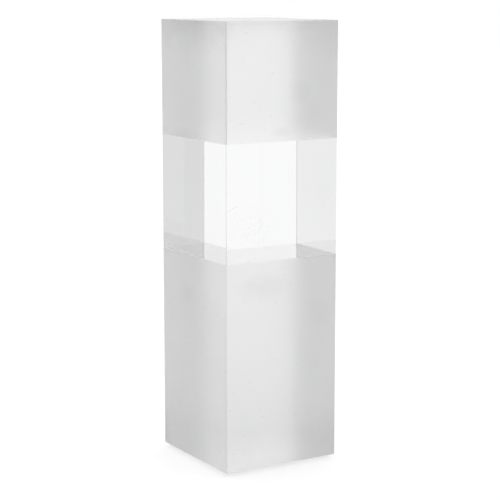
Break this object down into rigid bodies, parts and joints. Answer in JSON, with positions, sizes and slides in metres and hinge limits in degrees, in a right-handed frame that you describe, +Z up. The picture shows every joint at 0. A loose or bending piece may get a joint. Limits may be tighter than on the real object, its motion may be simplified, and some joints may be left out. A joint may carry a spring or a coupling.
{
  "type": "acrylic display column",
  "caption": "Tall square solid display column with a frosted base, a polished clear centre and a frosted head, bonded flush end to end.",
  "frame": {"origin": "on the supporting surface, under the middle of the column", "axes": "+Z up along the column, X and Y square to its side faces"},
  "size_m": [0.07, 0.07, 0.2428],
  "materials": {
    "frosted_acrylic": "satin",
    "clear_acrylic": "polished",
    "bond_cement": "gloss",
    "bumper_rubber": "satin"
  },
  "bodies": {
    "root": {"frosted_base_block": "frosted_acrylic", "lower_bond_line": "bond_cement", "clear_centre_block": "clear_acrylic", "upper_bond_line": "bond_cement", "frosted_head_block": "frosted_acrylic", "bumper_foot_front_left": "bumper_rubber", "bumper_foot_front_right": "bumper_rubber", "bumper_foot_back_left": "bumper_rubber", "bumper_foot_back_right": "bumper_rubber"}
  },
  "joints": []
}
